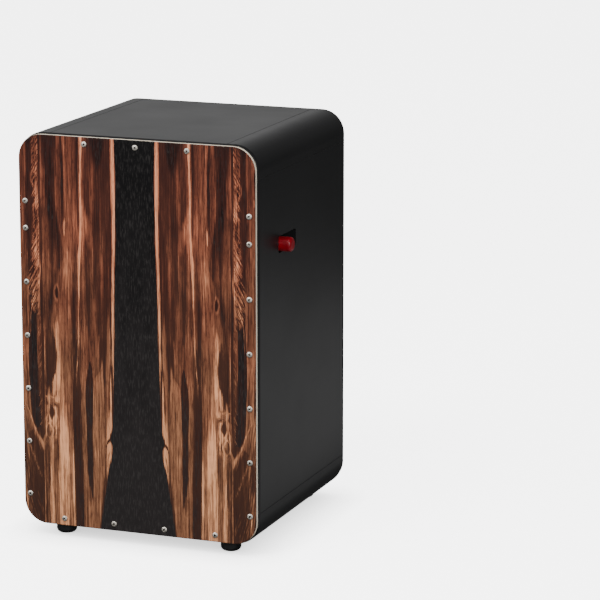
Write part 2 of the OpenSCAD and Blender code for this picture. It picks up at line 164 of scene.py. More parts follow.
class Veneer(Surface):
    """Figured veneer, cut in two leaves that mirror each other about the middle.

    across is the distance from the middle joint and up the height above the body's
    underside, both in millimetres. edge is across with the waver of a natural line.
    tone is the wood's lightness, 0 for black and 1 for the palest stripes: stripes are
    laid on it one after the other, and wood_colours() turns it into wood.
    """

    JOINT_X = -0.0012               # where the leaves meet, metres
    WIDEST = 150.0                  # distance that a path's curve has at 1, mm
    SWAY, FRAY, BARB = 1.2, 0.8, 5.0    # how far lines wander, fray and are barbed, mm

    def __init__(self, name, tone, **uniform):
        super().__init__(name, **uniform)
        offset = self.plus(self.x, -self.JOINT_X)
        self.across = self.times(self.math("ABSOLUTE", offset), 1000.0)
        self.up = self.times(self.minus(self.z, plate_bottom), 1000.0)
        self.height = self.math("DIVIDE", self.up, plate_height * 1000)
        sway = self.noise(self.grain(0.03, 0.006), detail=2.0)
        fray = self.noise(self.grain(0.9, 0.03), detail=3.0, roughness=0.6)
        sway = self.map(sway, 0.2, 0.8, -self.SWAY, self.SWAY, smooth=False)
        self.edge = self.plus(self.across, sway)
        fray = self.map(fray, 0.2, 0.8, -self.FRAY, self.FRAY, smooth=False)
        self.edge = self.plus(self.edge, fray)
        split = self.noise(self.grain(1.1, 0.011, 41.0), detail=4.0, roughness=0.7)
        self.split = self.map(split, 0.3, 0.7, -1.0, 1.0, smooth=False)
        barb = self.noise(self.slanted(0.5, 0.55, 0.030), detail=4.0, roughness=0.65)
        barb = self.map(barb, 0.3, 0.7, -self.BARB, self.BARB, smooth=False)
        self.barbed = self.plus(self.edge, barb)
        self.tone = tone

    def grain(self, across_scale, up_scale, shift=0.0):
        """Place on a leaf, in turns of a noise: waves per millimetre across and up."""
        across = self.times(self.across, across_scale)
        up = self.times(self.up, up_scale)
        return self.joined(across, up, shift)

    def slanted(self, slope, across_scale, along_scale, shift=0.0):
        """Like grain(), for fibres that lean outwards by slope as they go down."""
        length = math.hypot(1.0, slope)
        side = self.plus(self.across, self.times(self.up, slope))
        along = self.minus(self.up, self.times(self.across, slope))
        across = self.times(side, across_scale / length)
        return self.joined(across, self.times(along, along_scale / length), shift)

    def path(self, points):
        """Distance from the middle joint that follows (height, distance) points up the plate.

        Both are in mm. Above and below its end points a path keeps its distance.
        """
        node = self.add("ShaderNodeFloatCurve", {"Value": self.height})
        curve = node.mapping.curves[0]
        full = plate_height * 1000
        places = sorted((up / full, across / self.WIDEST) for up, across in points)
        while len(curve.points) < len(places):
            curve.points.new(0.5, 0.5)
        for point, place in zip(curve.points, places):
            point.location = place
        node.mapping.extend = "HORIZONTAL"
        node.mapping.update()
        return self.times(node.outputs["Value"], self.WIDEST)

    def stripe(self, tone, inner, outer, soft=1.0, outer_soft=None, strength=1.0, fray=1.2,
               barbed=False):
        """Lays a stripe between two paths that meet where it ends; inner may be None.

        It fades in over soft mm from its sides, which fibres split by up to fray mm.
        """
        split = self.times(self.split, fray)
        edge = self.plus(self.edge, split)
        outer_edge = self.plus(self.barbed, split) if barbed else edge
        from_outer = self.minus(self.path(outer), outer_edge)
        factor = self.map(from_outer, 0.0, outer_soft or soft, 0.0, strength)
        if inner:
            from_inner = self.minus(edge, self.path(inner))
            factor = self.times(factor, self.map(from_inner, 0.0, soft))
        self.lay(factor, tone)

    def barbs(self, tone, inner, outer, shift, strength=1.0):
        """Lays fine barbs between two paths, that lean outwards as they go down."""
        from_inner = self.minus(self.edge, self.path(inner))
        from_outer = self.minus(self.path(outer), self.edge)
        inside = self.times(self.map(from_inner, 0.0, 3.0), self.map(from_outer, 0.0, 5.0))
        place = self.slanted(0.55, 0.60, 0.045, shift)
        barb = self.noise(place, detail=3.0, roughness=0.65, distortion=0.25)
        self.lay(self.times(inside, self.map(barb, 0.48, 0.58, 0.0, strength)), tone)

    def knot(self, across, up, width, height, tone, rim_tone=None):
        """Lays an oval eye of these half axes in mm, perhaps with a rim of another tone."""
        side = self.math("DIVIDE", self.minus(self.edge, across), width)
        rise = self.math("DIVIDE", self.minus(self.up, up), height)
        squares = [self.math("POWER", self.math("ABSOLUTE", part), 2.0) for part in (side, rise)]
        distance = self.math("SQRT", self.plus(*squares))
        distance = self.plus(distance, self.times(self.split, 0.45))
        if rim_tone:
            rim = self.times(self.map(distance, 1.9, 1.3), self.map(distance, 0.8, 1.1))
            self.lay(self.times(rim, 0.6), rim_tone)
        self.lay(self.map(distance, 1.15, 0.75), tone)

    def lay(self, factor, tone):
        """Moves the tone by factor towards another."""
        node = self.add("ShaderNodeMix", data_type="FLOAT")
        self.feed(node.inputs[0], factor)
        self.feed(node.inputs[2], self.tone)
        self.feed(node.inputs[3], tone)
        self.tone = node.outputs[0]

    def streaks(self, noise, swing):
        """Lightens and darkens the tone along the grain, more in light wood than in dark."""
        swing = self.times(self.plus(self.tone, 0.28), swing)
        change = self.times(self.map(noise, 0.3, 0.7, -1.0, 1.0, smooth=False), swing)
        self.tone = self.plus(self.tone, change)


def straight(across, top=480, bottom=-10):
    """A path that keeps its distance from the middle joint."""
    return [(bottom, across), (top, across)]


def wood_colours(v):
    """Redder wood towards the top, browner towards the bottom, in eight even steps of tone."""
    red = [(9, 8, 9), (46, 22, 18), (64, 34, 27), (95, 50, 37), (124, 70, 51), (158, 93, 68),
           (198, 124, 90), (236, 158, 118)]
    brown = [(34, 31, 31), (53, 33, 27), (62, 39, 30), (90, 57, 41), (120, 80, 57), (148, 101, 73),
             (186, 127, 90), (226, 160, 116)]
    last = len(red) - 1
    reds, browns = ([(i / last, srgb(*c)) for i, c in enumerate(row)] for row in (red, brown))
    mottle = v.map(v.noise(v.grain(0.05, 0.012, 31.0)), 0.3, 0.7, -50.0, 50.0)
    redness = v.map(v.plus(v.up, mottle), 60.0, 450.0)
    return v.mix(redness, v.ramp(v.tone, browns), v.ramp(v.tone, reds))


def beside_band(v):
    """Beside the black band: dark, with reddish streaks above and brown columns below."""
    v.stripe(0.27, None, [(472, 64), (300, 68), (262, 68), (215, 52)], outer_soft=3.0, fray=3.0)
    v.stripe(0.42, [(430, 43), (390, 40), (300, 40), (240, 41)],
             [(430, 43), (390, 46), (300, 46), (240, 41)], soft=2.5, fray=3.0)
    v.stripe(0.46, [(472, 52), (400, 51), (330, 52), (250, 53)],
             [(472, 52), (400, 58), (330, 60), (250, 56)], soft=3.0, fray=3.0)
    v.stripe(0.10, [(472, 34), (415, 47)], [(472, 60), (415, 47)], soft=5.0, fray=3.0)
    v.stripe(0.46, [(340, 56), (290, 50), (240, 48), (200, 42), (70, 40), (30, 45), (0, 49)],
             [(340, 56), (290, 59), (240, 59), (185, 56), (60, 57), (35, 58), (0, 69)], soft=3.0,
             fray=3.0)
    v.stripe(0.60, [(218, 43.5), (200, 42), (178, 41.5), (100, 40), (40, 45), (0, 50)],
             [(218, 43.5), (200, 45), (178, 56), (60, 57), (35, 60), (0, 69)], soft=1.5, outer_soft=1.0)
    v.stripe(0.62, [(245, 47), (232, 46.5), (200, 47.5), (184, 48)],
             [(245, 47), (232, 48), (200, 49.5), (184, 48)], soft=0.7)
    v.stripe(0.34, [(252, 44), (235, 43), (200, 45), (184, 46.5)],
             [(252, 44), (235, 46), (205, 47.2), (184, 46.5)], soft=1.0)


def upper_browns(v):
    """Outside the pale line: a leaf and browns, with darker lines between them."""
    v.stripe(0.50, [(406, 67), (385, 61), (372, 57), (360, 56.5), (348, 58), (325, 62)],
             [(406, 67.5), (325, 66)], soft=3.0, outer_soft=1.0, fray=3.5)
    v.stripe(0.68, [(404, 67), (388, 63), (374, 60), (362, 59.5), (350, 62), (338, 65)],
             [(404, 68), (338, 68)], soft=2.5, outer_soft=0.5, fray=3.0)
    v.stripe(0.40, straight(69, bottom=200), [(472, 91), (350, 92), (300, 94), (240, 84)], fray=2.0)
    v.stripe(0.50, [(400, 71), (370, 71), (330, 73)], [(400, 74), (370, 79), (330, 77)], soft=2.0,
             fray=3.0)
    v.stripe(0.52, [(472, 79), (400, 78), (330, 79), (235, 84)],
             [(472, 86), (350, 91), (300, 94), (235, 96)], soft=4.0, fray=3.5)
    v.stripe(0.16, [(472, 71), (400, 71), (350, 73)], [(472, 74.5), (400, 74), (350, 73)], soft=0.9,
             fray=2.0)
    v.stripe(0.70, [(472, 87), (400, 86.5), (360, 88)], [(472, 91), (400, 90), (360, 88)], soft=2.0,
             fray=2.0)
    v.stripe(0.16, [(472, 91), (380, 91), (350, 94)], [(472, 95), (430, 94.5), (380, 94), (350, 94)],
             soft=1.2)
    v.stripe(0.44, [(472, 94.5), (380, 94), (340, 97)],
             [(472, 97.5), (440, 99), (400, 100.5), (360, 99), (340, 97)], soft=1.2, fray=2.0)
    v.stripe(0.62, [(445, 97), (425, 99), (400, 100), (372, 98)],
             [(445, 97), (425, 100), (400, 101), (372, 98)], soft=0.5)
    v.stripe(0.15, [(472, 98), (430, 100.5), (400, 101), (360, 96), (330, 93), (300, 99), (260, 108)],
             [(472, 119), (430, 117), (390, 114.5), (350, 110.5), (300, 110), (250, 116), (200, 117)],
             soft=2.0, outer_soft=3.0, fray=3.0)
    v.stripe(0.36, [(350, 101), (300, 98), (255, 108)], [(350, 104), (300, 106), (255, 110)], soft=2.0,
             fray=3.0)
    v.stripe(0.36, [(410, 109), (340, 106), (262, 108)], [(410, 109), (340, 110), (262, 108)], soft=1.5,
             fray=3.0)
    v.stripe(0.40, [(400, 113), (340, 111), (262, 111)], [(400, 113), (340, 113.5), (262, 111)],
             soft=1.5, fray=3.0)


def light_field(v):
    """A light field that grows downwards into the wide pale strip."""
    v.stripe(0.20, straight(69, top=262), [(262, 69), (235, 76), (190, 83.5), (0, 83)], soft=1.0)
    v.stripe(0.42, [(265, 73), (235, 69), (185, 67), (160, 70)],
             [(265, 73), (235, 75), (200, 75), (160, 70)], soft=1.5)
    v.stripe(0.56, [(360, 90), (320, 84), (270, 83), (235, 82), (150, 82), (0, 82)],
             [(360, 90), (320, 93), (290, 97), (262, 107), (240, 107), (220, 103), (200, 102),
              (180, 106), (163, 112), (150, 117), (120, 115), (0, 115)], soft=2.0, fray=3.0)
    v.stripe(0.20, [(300, 80), (275, 77.5), (235, 78), (205, 80)],
             [(300, 80), (275, 81.5), (235, 82), (205, 80)], soft=1.2)
    v.stripe(0.46, [(300, 97), (285, 96), (262, 99), (240, 104)],
             [(300, 97), (285, 102), (262, 107), (240, 104)], soft=2.0, fray=3.0, strength=0.7)
    v.stripe(0.84, [(262, 101), (240, 96), (215, 94), (190, 94), (165, 96), (150, 99)],
             [(262, 101), (240, 104), (222, 103.5), (205, 102), (190, 104), (176, 109), (160, 108),
              (150, 99)], soft=4.0, outer_soft=1.0, fray=2.5)
    v.stripe(0.62, [(165, 91), (130, 83.5), (0, 83.5)], [(165, 91), (130, 95), (0, 95)], soft=2.0,
             fray=2.0)
    v.stripe(0.92, [(190, 95), (170, 93), (140, 89.5), (110, 87), (0, 88)],
             [(190, 95), (170, 98), (140, 100), (100, 101.5), (0, 102)], soft=3.0, outer_soft=1.2,
             fray=1.6)
    v.stripe(0.42, [(215, 86), (200, 85), (150, 85), (110, 87)],
             [(215, 86), (200, 87), (150, 87), (110, 87)], soft=1.0, strength=0.6)


def dark_leaves(v):
    """Dark leaves low down, with a tongue of light wood between them."""
    v.stripe(0.10, [(207, 59), (190, 56), (130, 56.2), (34, 58)],
             [(207, 59), (188, 64), (165, 66), (130, 65), (70, 64), (34, 58)], soft=0.7)
    v.stripe(0.14, [(192, 78), (170, 74), (120, 72.5), (60, 70.5), (0, 70)],
             [(192, 78), (170, 82), (120, 80.5), (0, 79.5)], soft=0.8)
    v.stripe(0.54, [(176, 68.5), (140, 66.5), (100, 64), (50, 65), (20, 60), (0, 62)],
             [(176, 68.5), (150, 71.5), (100, 71), (50, 70), (0, 70)], soft=1.2, fray=2.0)
    v.stripe(0.84, [(105, 82), (80, 81.2), (0, 80.5)], [(105, 82), (80, 83.2), (0, 83.2)], soft=0.5)


def outer_columns(v):
    """Outside the pale strip: a ragged dark lens, curls below it, then tan columns."""
    v.stripe(0.22,
             [(246, 110), (236, 106), (222, 103.5), (205, 102), (190, 104), (176, 108), (162, 113)],
             [(246, 110), (236, 114), (225, 118), (195, 119), (176, 117), (162, 113)], soft=0.8,
             fray=4.5)
    v.stripe(0.80, [(176, 114), (160, 112), (150, 113), (120, 109), (60, 108), (0, 108)],
             [(176, 114), (160, 116), (150, 117), (120, 113.5), (60, 113.5), (0, 114)], soft=1.5,
             fray=2.5)
    v.stripe(0.36, [(132, 101.5), (120, 100), (100, 101), (60, 101.5), (0, 102)],
             [(132, 101.5), (120, 103), (100, 105), (60, 104.5), (0, 103)], soft=1.2, fray=3.5,
             strength=0.8)
    v.stripe(0.34, straight(116, top=300), [(300, 118), (250, 119), (160, 122), (120, 118), (0, 118)],
             soft=1.5, fray=2.5)
    v.stripe(0.44, straight(114.5, top=110), [(110, 114.5), (95, 119), (0, 120)], soft=1.5, fray=2.5)
    v.stripe(0.56, [(260, 119), (200, 118.5), (150, 118)], [(260, 123.5), (200, 122), (150, 120)],
             soft=1.2, fray=3.0)
    v.stripe(0.07, [(260, 127), (150, 124.5), (100, 121), (60, 119)],
             [(260, 138), (150, 138), (90, 128), (60, 119)], soft=1.0, outer_soft=1.5)
    curl = v.noise(v.grain(0.10, 0.036, 77.0), detail=2.0, distortion=2.6)
    eddy = v.times(v.map(v.edge, 99.0, 105.0), v.map(v.edge, 122.0, 117.0))
    level = v.times(v.map(v.up, 178.0, 160.0), v.map(v.up, 95.0, 115.0))
    eddy = v.times(eddy, level)
    v.lay(v.times(eddy, v.map(curl, 0.48, 0.36, 0.0, 0.8)), 0.86)
    v.lay(v.times(eddy, v.map(curl, 0.54, 0.66, 0.0, 0.8)), 0.26)
    v.knot(110.0, 139.0, 4.0, 8.5, 0.24)
    v.knot(101.0, 284.0, 2.2, 7.0, 0.16, 0.84)


def feathered_stripe(v):
    """A feathered tan stripe near the edge, with the dark field it runs into."""
    v.stripe(0.18, straight(118, bottom=262), [(472, 139), (300, 139), (262, 118)], soft=1.0)
    v.stripe(0.70, [(472, 118), (400, 118), (330, 119.5), (300, 121), (262, 122)],
             [(472, 125), (440, 128), (400, 129), (370, 125), (345, 129), (318, 133), (312, 126),
              (300, 134), (284, 134), (262, 124)], barbed=True, soft=1.2, outer_soft=2.5)
    for up, across, width, height in ((447, 127, 2.4, 9), (419, 127, 3.2, 6), (372, 126, 2.2, 12)):
        v.knot(across, up, width, height, 0.14, 0.66)
    v.barbs(0.74, [(472, 121), (262, 123)],
            [(472, 134), (330, 135), (300, 140), (270, 138), (255, 124)], 9.0)
    v.barbs(0.20, [(472, 119), (262, 123)],
            [(472, 132), (330, 132), (300, 136), (270, 136), (255, 124)], 33.0, 0.8)
    v.stripe(0.82, [(290, 125), (278, 128.5), (262, 133.6), (240, 135), (222, 135)],
             [(290, 126), (278, 129.6), (262, 134.8), (240, 136), (222, 135)], soft=0.5, fray=0.4)
    v.stripe(0.38, straight(139, bottom=-10), straight(152, bottom=-10), soft=0.8)
    v.stripe(0.58, [(472, 138), (400, 138), (370, 140)], [(472, 140.5), (400, 140.3), (370, 140)],
             soft=0.6)
    v.stripe(0.56, [(262, 139), (200, 138), (120, 137)], [(262, 139), (200, 140.5), (120, 137)],
             soft=0.6)
    v.knot(147.5, 436.0, 2.4, 8.0, 0.10)
    v.knot(147.5, 406.0, 1.2, 5.0, 0.80)


def corner_flames(v):
    """Slanting flames towards the lower corner, and the pale arm above them."""
    v.stripe(0.24, [(120, 118), (0, 116)], [(120, 118), (90, 152), (0, 152)], soft=2.0, fray=2.5)
    flame = v.noise(v.slanted(-0.30, 0.42, 0.012, 5.0), detail=4.0, roughness=0.65, distortion=0.5)
    patch = v.noise(v.grain(0.09, 0.02, 23.0), detail=2.0)
    arm = v.path([(0, 114), (70, 117), (92, 122), (140, 139), (175, 149)])
    under_arm = v.minus(v.edge, arm)
    corner = v.times(v.map(under_arm, 0.0, 3.0), v.map(patch, 0.40, 0.60, 0.25, 1.0))
    corner = v.times(corner, v.map(v.up, 180.0, 150.0))
    v.lay(v.times(corner, v.map(flame, 0.48, 0.70, 0.0, 0.9)), 0.66)
    fringe = v.times(v.map(v.edge, 137.0, 143.0), v.map(v.up, 215.0, 160.0))
    lick = v.noise(v.slanted(-0.12, 0.50, 0.014, 15.0), detail=3.0, roughness=0.6, distortion=0.4)
    v.lay(v.times(fringe, v.map(lick, 0.43, 0.62, 0.0, 0.9)), 0.74)
    v.stripe(0.56, [(150, 143), (112, 126), (98, 119), (84, 120)],
             [(150, 149), (112, 135), (98, 127), (84, 120)], soft=3.0, fray=2.5)
    v.stripe(0.80, [(152, 146), (140, 139.5), (112, 128), (98, 120.5), (90, 121)],
             [(152, 147.2), (140, 141.8), (112, 131.5), (98, 124.5), (90, 121)], soft=1.2, fray=1.2)
    v.stripe(0.70, [(114, 117.6), (92, 119.6)], [(114, 118.8), (100, 122), (92, 121.4)], soft=0.7,
             fray=0.6)
    v.stripe(0.60, [(96, 138), (76, 130), (60, 124), (44, 119)],
             [(96, 139.5), (76, 132), (60, 125.4), (44, 119)], soft=0.8, fray=2.0, strength=0.8)


def clouds_and_fibres(v):
    """Clouds, streaks and fibres through all of it, a little darker at the top."""
    v.streaks(v.noise(v.grain(0.06, 0.02, 61.0), detail=2.0), 0.14)
    v.streaks(v.noise(v.grain(0.36, 0.007, 3.0), detail=5.0, roughness=0.78), 0.26)
    v.streaks(v.noise(v.grain(0.80, 0.025, 7.0), detail=3.0, roughness=0.7), 0.20)
    v.lay(v.map(v.up, 425.0, 475.0, 0.0, 0.18), 0.0)


def lines_and_band(v):
    """The pale lines, and the black middle band with its rim."""
    v.stripe(0.92,
             [(472, 65.4), (440, 66.2), (400, 66.8), (350, 68.0), (329, 69.2), (290, 71.4), (262, 72.8),
              (235, 73.6), (190, 76), (148, 79)],
             [(472, 69.6), (400, 70.2), (350, 71.6), (329, 73.6), (290, 74.0), (262, 74.8), (235, 75.4),
              (190, 77.4), (148, 79)], soft=0.8)
    v.stripe(0.90, [(376, 89), (365, 88.4), (350, 90)], [(376, 89), (365, 90.6), (350, 90)], soft=0.5)
    rim = [(472, 25.4), (400, 24.6), (300, 26.5), (235, 28), (185, 29.5), (130, 32), (112, 35),
           (104, 32.5), (70, 38), (35, 44), (0, 49.5)]
    v.stripe(0.62, rim,
             [(472, 33.5), (300, 34), (235, 38), (185, 41), (150, 41.5), (125, 41.5), (104, 42),
              (80, 42), (52, 41)], soft=0.8, outer_soft=4.0, fray=2.5)
    v.stripe(0.92, rim,
             [(472, 31), (300, 31.5), (235, 34), (185, 36), (150, 39), (125, 41), (104, 41.5),
              (80, 41.5), (52, 41)], soft=0.8, outer_soft=3.0, fray=1.5)
    v.stripe(0.36, [(225, 31), (185, 33), (150, 35), (126, 37)],
             [(225, 31), (185, 35.5), (150, 37.5), (126, 37)], soft=0.7)
    v.stripe(0.20, [(118, 30), (110, 36), (102, 40)], [(118, 33), (111, 38.5), (102, 41.5)], soft=0.7)
    v.stripe(0.40, [(102, 35.5), (88, 36.5), (76, 38.5)], [(102, 35.5), (88, 38.2), (76, 38.5)],
             soft=0.6)
    v.streaks(v.noise(v.grain(1.1, 0.02, 13.0), detail=3.0, roughness=0.6), 0.12)
    v.stripe(0.0, None, rim, outer_soft=0.7)


def veneer_material():
    v = Veneer("figured_veneer", 0.45, Specular_IOR_Level=0.1)
    for figure in (beside_band, upper_browns, light_field, dark_leaves, outer_columns, feathered_stripe,
                   corner_flames, clouds_and_fibres, lines_and_band):
        figure(v)

    # Open pores: short grey dashes where the wood is dark, dark ones where it is light
    place = v.joined(v.times(v.x, 700.0), v.times(v.up, 0.09), 19.0)
    dashes = v.map(v.noise(place, detail=3.0, roughness=0.7), 0.50, 0.62)
    light_wood = v.map(v.tone, 0.15, 0.45)
    v.tone = v.minus(v.tone, v.times(dashes, v.times(light_wood, 0.10)))
    grey = v.times(dashes, v.map(v.tone, 0.03, 0.25, 0.42, 0.0))
    v.bump(dashes, 0.03 * MM, -0.5)
    return v.finish(v.mix(grey, wood_colours(v), srgb(58, 55, 54)), v.map(dashes, 0.0, 1.0, 0.5, 0.62))


# ---------------------------------------------------------------- other materials

def lacquer_material(name, dark, light, low_roughness, high_roughness, specular):
    """Black lacquer, with the wood's grain faintly telegraphing through it from front to back."""
    g = Surface(name, Specular_IOR_Level=specular)
    grain = g.noise(g.scaled(g.place, (160.0, 5.0, 160.0)), detail=4.0, roughness=0.65)
    cloud = g.noise(g.place, 9.0, detail=3.0)
    peel = g.noise(g.place, 1400.0, detail=1.0)
    colour = g.mix(g.map(g.plus(grain, cloud), 0.7, 1.3), dark, light)
    height = g.plus(g.times(grain, 0.4), g.times(peel, 0.3))
    g.bump(height, 0.03 * MM, 0.25)
    return g.finish(colour, g.map(cloud, 0.25, 0.75, low_roughness, high_roughness))


PLY_THICKNESS = 1.15 * MM


def plywood_material():
    """Thin plywood: pale plies, seen in its edge as layers along Y."""
    g = Surface("birch_ply", Specular_IOR_Level=0.35)
    waver = g.noise(g.scaled(g.place, (30.0, 30.0, 30.0)), detail=2.0)
    depth = g.plus(g.y, g.map(waver, 0.2, 0.8, -0.06 * MM, 0.06 * MM))
    from_face = g.minus(depth, plate_low.y)
    layer = g.math("FRACT", g.times(from_face, 1.0 / PLY_THICKNESS))
    glue = g.map(g.math("ABSOLUTE", g.minus(layer, 0.5)), 0.42, 0.5)
    fibre = g.noise(g.scaled(g.place, (900.0, 900.0, 260.0)), detail=3.0)
    wood = g.ramp(fibre, [(0.3, srgb(240, 220, 190)), (0.6, srgb(252, 242, 222)),
                          (0.8, srgb(254, 248, 234))])
    colour = g.mix(g.times(glue, 0.25), wood, srgb(176, 136, 96))
    g.bump(fibre, 0.05 * MM, 0.5)
    return g.finish(colour, 0.55)


def rubber_material(name, dark, light, roughness, specular, coat=0.0):
    g = Surface(name, Specular_IOR_Level=specular, Coat_Weight=coat, Coat_Roughness=0.12)
    mottle = g.noise(g.place, 120.0, detail=3.0)
    skin = g.noise(g.place, 2600.0, detail=2.0)
    g.bump(skin, 0.03 * MM, 0.5)
    return g.finish(g.mix(g.map(mottle, 0.3, 0.7), dark, light),
                    g.map(skin, 0.3, 0.7, roughness - 0.06, roughness + 0.06))


def metal_material(name, dark, light, roughness, brush):
    """Metal with fine scratches; brush is their number per metre along each axis."""
    g = Surface(name, Metallic=1.0)
    scratch = g.noise(g.scaled(g.place, brush), detail=3.0, roughness=0.65)
    tarnish = g.noise(g.place, 90.0, detail=2.0)
    g.bump(scratch, 0.02 * MM, 0.4)
    return g.finish(g.mix(g.map(tarnish, 0.3, 0.7), dark, light),
                    g.map(scratch, 0.25, 0.75, roughness - 0.08, roughness + 0.1))


def beech_material():
    g = Surface("planed_beech", Specular_IOR_Level=0.3)
    grain = g.noise(g.scaled(g.place, (60.0, 12.0, 420.0)), detail=3.0)
    fleck = g.map(g.noise(g.scaled(g.place, (900.0, 220.0, 900.0)), detail=1.0), 0.62, 0.7)
    wood = g.ramp(grain, [(0.3, srgb(176, 128, 84)), (0.55, srgb(204, 158, 110)),
                          (0.75, srgb(220, 178, 132))])
    g.bump(grain, 0.05 * MM, 0.4)
    return g.finish(g.mix(g.times(fleck, 0.5), wood, srgb(128, 82, 50)),
                    g.map(grain, 0.3, 0.7, 0.5, 0.65))


def felt_material():
    g = Surface("grey_felt", Sheen_Weight=0.4, Specular_IOR_Level=0.1)
    fluff = g.noise(g.place, 1800.0, detail=4.0, roughness=0.7)
    g.bump(fluff, 0.3 * MM, 0.7)
    return g.finish(g.ramp(fluff, [(0.3, srgb(48, 50, 54)), (0.7, srgb(92, 94, 98))]), 0.95)


EVEN = (600.0, 600.0, 600.0)    # a brush with no direction
nickel = metal_material("nickel_screw", srgb(196, 190, 180), srgb(222, 216, 206), 0.5, EVEN)
recess_shade = metal_material("screw_recess_shade", srgb(30, 29, 28), srgb(44, 42, 40), 0.6, EVEN)
snare_steel = metal_material("snare_steel", srgb(188, 188, 190), srgb(214, 214, 216), 0.2, EVEN)
FINISHES = {
    "veneer": veneer_material(),
    "shell_lacquer": lacquer_material("shell_lacquer", srgb(18, 18, 19), srgb(22, 22, 23), 0.38, 0.43, 0.5),
    "rear_lacquer": lacquer_material("rear_lacquer", srgb(13, 13, 14), srgb(18, 18, 19), 0.46, 0.52, 0.4),
    "plywood": plywood_material(),
    "black_rubber": rubber_material("black_rubber", srgb(12, 12, 13), srgb(22, 22, 23), 0.55, 0.4),
    "red_rubber": rubber_material("red_rubber", srgb(118, 5, 19), srgb(138, 8, 24), 0.4, 0.25, coat=0.15),
    "screw_steel": nickel,
    "plated_steel": metal_material("zinc_plate", srgb(140, 142, 146), srgb(170, 172, 176), 0.38,
                                   brush=(80.0, 900.0, 900.0)),
    "rod_steel": metal_material("ground_rod", srgb(168, 168, 170), srgb(192, 192, 194), 0.22,
                                brush=(2600.0, 300.0, 300.0)),
    "rail_aluminium": metal_material("rail_aluminium", srgb(178, 180, 184), srgb(204, 206, 210), 0.4,
                                     brush=(900.0, 12.0, 900.0)),
    "black_oxide": metal_material("black_oxide", srgb(24, 25, 28), srgb(40, 41, 44), 0.35, EVEN),
    "snare_steel": snare_steel,
    "beech": beech_material(),
    "felt": felt_material(),
}
slot_of = {row["node"]: row["material_slot"] for row in frame["record"]["subparts"]}
for name, node in frame["nodes"].items():
    node.data.materials.clear()
    node.data.materials.append(FINISHES[slot_of[name]])


# ---------------------------------------------------------------- pieces

def mesh_object(name, bm, materials, smooth=True):
    bmesh.ops.recalc_face_normals(bm, faces=bm.faces)
    mesh = bpy.data.meshes.new(name)
    for face in bm.faces:
        face.smooth = smooth
    bm.to_mesh(mesh)
    bm.free()
    for material in materials:
        mesh.materials.append(material)
    piece = bpy.data.objects.new(name, mesh)
    bpy.context.scene.collection.objects.link(piece)
    return piece


def islands(node):
    """The separate solids of a CAD node, each as a list of its corners."""
    bm = bmesh.new()
    bm.from_mesh(frame["nodes"][node].data)
    bmesh.ops.remove_doubles(bm, verts=bm.verts, dist=1e-6)
    found, seen = [], set()
    for start in bm.verts:
        if start in seen:
            continue
        seen.add(start)
        group, to_visit = [], [start]
        while to_visit:
            vert = to_visit.pop()
            group.append(vert.co.copy())
            for link in vert.link_edges:
                other = link.other_vert(vert)
                if other not in seen:
                    seen.add(other)
                    to_visit.append(other)
        found.append(group)
    bm.free()
    return found


HEAD_R, HEAD_H = 3.4 * MM, 1.64 * MM        # a plate screw's head
SHANK_R, THREAD_PITCH = 1.75 * MM, 1.25 * MM
POINT = 0.3 * MM                            # the tip, beyond the last turn of the thread
SHORT_OF_CAD = 0.6 * MM                     # keeps the tip inside the CAD's screw
DRIVER_TURN = 2.4                           # radians from one screw's cross to the next's
COIL_R, WIRE_R, COIL_PITCH = 1.0 * MM, 0.23 * MM, 1.4 * MM
COIL_GAP = 0.25 * MM                        # from a snare's end to its CAD rod's end


def thread_profile(radius, pitch, length, turn):
    """(radius, height) of a wood screw's thread down its length, at one angle about it."""
    steps = round(length / pitch * 6)
    rows = []
    for i in range(steps + 1):
        down = length * i / steps
        saw = abs((down / pitch - turn / (2 * math.pi)) % 1.0 - 0.5) * 2
        taper = min(1.0, (length - down) / (2.5 * radius) + 0.08)
        rows.append((radius * taper * (0.72 + 0.28 * max(0.0, 1 - 2.2 * saw)), -down))
    return rows


def screw_body(bm, head_r, head_h, radius, length):
    """Pan head, then a threaded shank down to its point, as one closed skin about Z."""
    segments = 24
    dome_r = 2.4 * head_r
    drop = head_h - dome_r
    radii = [head_r * k / 8 for k in range(1, 8)]
    head = [(r, drop + math.sqrt(dome_r ** 2 - r ** 2)) for r in radii]
    rim_h = drop + math.sqrt(dome_r ** 2 - head_r ** 2)
    head += [(head_r * 0.985, rim_h * 0.96), (head_r, rim_h * 0.8), (head_r, 0.1 * MM),
             (head_r * 0.97, 0.0)]
    rows = []
    for i in range(segments):
        turn = 2 * math.pi * i / segments
        column = head + thread_profile(radius, THREAD_PITCH, length, turn)
        rows.append([bm.verts.new((r * math.cos(turn), r * math.sin(turn), h)) for r, h in column])
    top, tip = bm.verts.new((0, 0, head_h)), bm.verts.new((0, 0, -length - POINT))
    for a, b in zip(rows, rows[1:] + rows[:1]):
        bm.faces.new((top, a[0], b[0]))
        bm.faces.new((tip, b[-1], a[-1]))
        for k in range(len(a) - 1):
            bm.faces.new((a[k], a[k + 1], b[k + 1], b[k]))


def cross_recess(bm, head_r, head_h):
    """The tapered cross that a driver fits, to be cut out of a head."""
    arm, half = 0.5 * head_r, 0.15 * head_r
    outline = [(arm, -half), (arm, half), (half, half), (half, arm), (-half, arm), (-half, half),
               (-arm, half), (-arm, -half), (-half, -half), (-half, -arm), (half, -arm), (half, -half)]
    levels = [(1.15, 1.3 * head_h), (0.98, 0.8 * head_h), (0.5, -0.35 * head_h)]
    rings = [[bm.verts.new((k * x, k * y, z)) for x, y in outline] for k, z in levels]
    for above, below in zip(rings, rings[1:]):
        for i in range(12):
            bm.faces.new((above[i], above[(i + 1) % 12], below[(i + 1) % 12], below[i]))
    bm.faces.new(rings[0])
    bm.faces.new(rings[-1])


